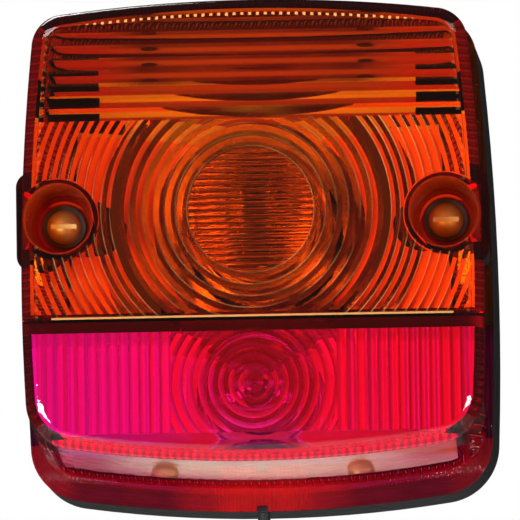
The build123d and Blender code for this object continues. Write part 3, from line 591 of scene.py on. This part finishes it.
def reflector_painted_light(shader, x, z):
    """Colour of the satin coat, painted light and painted shade by zone: warm above the divider, cooler at
    the left below it and warmer to the right, pale in the band, cream along the low edge, and painted shade
    at the top, redder at its ends.
    """
    # Painted light: cooler at the left of the red chamber, warmer to the right; then the amber chamber, the
    # band and the low edge, with painted shade at the top
    warm = shader.spread(x, 0.0, 1.0, COOL_LIGHT_END * MM, WARM_LIGHT_START * MM)
    red_chamber_light = shader.blend(warm, RED_CHAMBER_PAINTED_COOL_LIGHT, RED_CHAMBER_PAINTED_WARM_LIGHT)
    satin = shader.blend(shader.below(z, SPLIT * MM), AMBER_CHAMBER_PAINTED_LIGHT, red_chamber_light)
    satin = shader.blend(shader.above(z, BAND_BOTTOM * MM), satin, BAND_PAINTED_LIGHT)
    satin = shader.blend(shader.below(z, LOW_EDGE * MM), satin, LOW_EDGE_PAINTED_LIGHT)
    ends = shader.spread(shader.size(x), 0.0, 1.0, TOP_MIDDLE * MM, TOP_END * MM)
    top = shader.blend(ends, TOP_PAINTED_SHADE, TOP_END_PAINTED_SHADE)
    return shader.blend(shader.above(z, PAINTED_SHADE_START * MM), satin, top)


def reflector_material():
    """Coated moulding: polished metal in the bowl, satin round it with painted light and painted shade by
    zone, and painted shade at the divider's and lower edges.
    """
    material, shader = new_material("reflector_coat")
    x, y, z = shader.parts(shader.place())
    in_bowl = shader.below(shader.distance(x, z, 0.0, BOWL_Z), BOWL_RADIUS * MM)
    # Painted shade, without metal, on the divider's front edge and below a low edge that bows up to the
    # sides
    bow = shader.times(shader.math("POWER", x, 2.0), EDGE_BOW)
    under_edge = shader.below(shader.minus(z, bow), LOW_SHADE_EDGE * MM)
    painted_edge_shade = shader.larger(shader.below(y, DIVIDER_EDGE * MM), under_edge)
    coated = shader.blend(in_bowl, reflector_painted_light(shader, x, z), BOWL_METAL)
    body = shader.principled(
        {
            "Base Color": shader.blend(painted_edge_shade, coated, EDGE_PAINTED_SHADE),
            "Metallic": shader.times(in_bowl, shader.minus(1.0, painted_edge_shade)),
            "Roughness": shader.pick(in_bowl, 0.35, 0.13),
            "Normal": shader.bump(shader.noise(900.0), 0.05, GRAIN_DEPTH),
        }
    )
    shader.surface(body)
    return material


def make_materials():
    """Each material slot's finish, and a second one for the steel of the screws."""
    finishes = {
        "amber_plastic": amber_material(),
        "red_plastic": red_material(),
        "clear_plastic": window_material(),
        "bulb_glass": clear_material("bulb_glass", GLASS_IOR, 0.004),
        "reflector_coat": reflector_material(),
    }
    solids = {
        "black_plastic": ((0.02, 0.02, 0.021), (0.024, 0.024, 0.024), 0.5, {"bump": 0.3, "shine": 0.12}),
        "black_rubber": ((0.01, 0.01, 0.01), (0.018, 0.017, 0.016), 0.7, {"bump": 0.4}),
        "plated_steel": ((0.80, 0.72, 0.50), (0.76, 0.66, 0.52), 0.22, {"metal": 1.0}),
        "passivated_steel": ((0.82, 0.6, 0.24), (0.74, 0.5, 0.18), 0.4, {"metal": 0.7}),
        "brass": ((0.80, 0.58, 0.25), (0.66, 0.44, 0.18), 0.28, {"metal": 1.0}),
        "nickel_brass": ((0.74, 0.70, 0.62), (0.66, 0.60, 0.50), 0.25, {"metal": 1.0}),
        "black_glass": ((0.01, 0.01, 0.014), (0.016, 0.014, 0.02), 0.12, {}),
        "solder": ((0.58, 0.58, 0.6), (0.45, 0.45, 0.47), 0.4, {"metal": 1.0}),
        "tungsten": ((0.3, 0.3, 0.31), (0.22, 0.22, 0.23), 0.35, {"metal": 1.0}),
    }
    for name, (colour, second, rough, settings) in solids.items():
        finishes[name] = solid_material(name, colour, second, rough, **settings)
    return finishes


def dress_nodes():
    """Give each piece of the lamp its material."""
    finishes = make_materials()
    slots = {part["node"]: part["material_slot"] for part in frame["record"]["subparts"]}
    for name, piece in frame["nodes"].items():
        is_screw = name in ("lens_screws", "reflector_screws")
        piece.data.materials.clear()
        piece.data.materials.append(finishes["passivated_steel" if is_screw else slots[name]])


def make_camera():
    """Camera at the photograph's angle, turned by its small tilt."""
    level = math.cos(ELEVATION)
    away = Vector((math.sin(AZIMUTH) * level, -math.cos(AZIMUTH) * level, math.sin(ELEVATION)))
    right = Vector((math.cos(AZIMUTH), math.sin(AZIMUTH), 0))
    up = away.cross(right)
    turned_right = right * math.cos(ROLL) - up * math.sin(ROLL)
    turned_up = right * math.sin(ROLL) + up * math.cos(ROLL)
    data = bpy.data.cameras.new("camera")
    data.sensor_fit = "HORIZONTAL"
    data.sensor_width = SENSOR
    data.lens = PIXELS_PER_MM * DISTANCE / MM / IMAGE_WIDTH * SENSOR
    data.clip_start = 0.01
    data.clip_end = 20.0
    camera = bpy.data.objects.new("camera", data)
    axes = Matrix((turned_right, turned_up, away)).transposed().to_4x4()
    camera.matrix_world = Matrix.Translation(TARGET + away * DISTANCE) @ axes
    scene.collection.objects.link(camera)
    scene.camera = camera


def add_softbox(name, place, size, power):
    """Area light that faces the lamp."""
    data = bpy.data.lights.new(name, "AREA")
    data.shape = "RECTANGLE"
    data.size, data.size_y = size
    data.energy = power
    light = bpy.data.objects.new(name, data)
    light.location = place
    light.rotation_euler = (LAMP_MIDDLE - Vector(place)).to_track_quat("-Z", "Y").to_euler()
    scene.collection.objects.link(light)


def make_world():
    """White for the camera and behind the lamp, and otherwise a dim studio."""
    world = bpy.data.worlds.new("studio")
    scene.world = world
    shader = Shader(world)
    ray = shader.add("ShaderNodeLightPath").outputs
    place = shader.add("ShaderNodeTexCoord").outputs["Generated"]
    depth, height = shader.parts(place)[1:]
    behind = shader.spread(depth, 0.0, 1.0, 0.4, 0.9)
    behind = shader.times(behind, shader.spread(height, 0.25, 0.0, -0.4, -0.2))
    clear = shader.larger(ray["Is Glossy Ray"], ray["Is Transmission Ray"])
    seen = shader.larger(ray["Is Camera Ray"], shader.times(clear, behind))
    studio = shader.spread(depth, 0.1, 0.02, 0.2, 0.7)
    strength = shader.pick(seen, studio, 1.0)
    back = shader.add("ShaderNodeBackground", {"Color": WHITE, "Strength": strength})
    out = shader.add("ShaderNodeOutputWorld")
    shader.connect(back.outputs[0], out.inputs["Surface"])


def floor_material():
    """Pale matt sheet, which the camera sees near to the white round it."""
    material, shader = new_material("floor")
    tone = shader.blend(shader.noise(0.8), (0.84, 0.84, 0.83, 1), (0.82, 0.82, 0.81, 1))
    sheet = shader.principled({"Base Color": tone, "Roughness": 0.6})
    white = shader.add("ShaderNodeEmission", {"Color": WHITE, "Strength": 1.0}).outputs[0]
    seen = shader.times(shader.add("ShaderNodeLightPath").outputs["Is Camera Ray"], 0.85)
    shader.surface(shader.layer(seen, sheet, white))
    return material


def make_floor():
    """Level sheet below the lamp."""
    mesh = bpy.data.meshes.new("floor")
    corners = [(-1, -1), (1, -1), (1, 1), (-1, 1)]
    mesh.from_pydata([(x * FLOOR_HALF, y * FLOOR_HALF, FLOOR_LEVEL) for x, y in corners], [], [(0, 1, 2, 3)])
    mesh.materials.append(floor_material())
    floor = bpy.data.objects.new("floor", mesh)
    scene.collection.objects.link(floor)


dress_nodes()
make_camera()
for softbox in SOFTBOXES:
    add_softbox(*softbox)
make_world()
make_floor()

scene.view_settings.view_transform = "Standard"
scene.cycles.max_bounces = 16
scene.cycles.transmission_bounces = 14
scene.cycles.transparent_max_bounces = 16
scene.cycles.glossy_bounces = 6
scene.cycles.caustics_refractive = False
scene.cycles.caustics_reflective = False
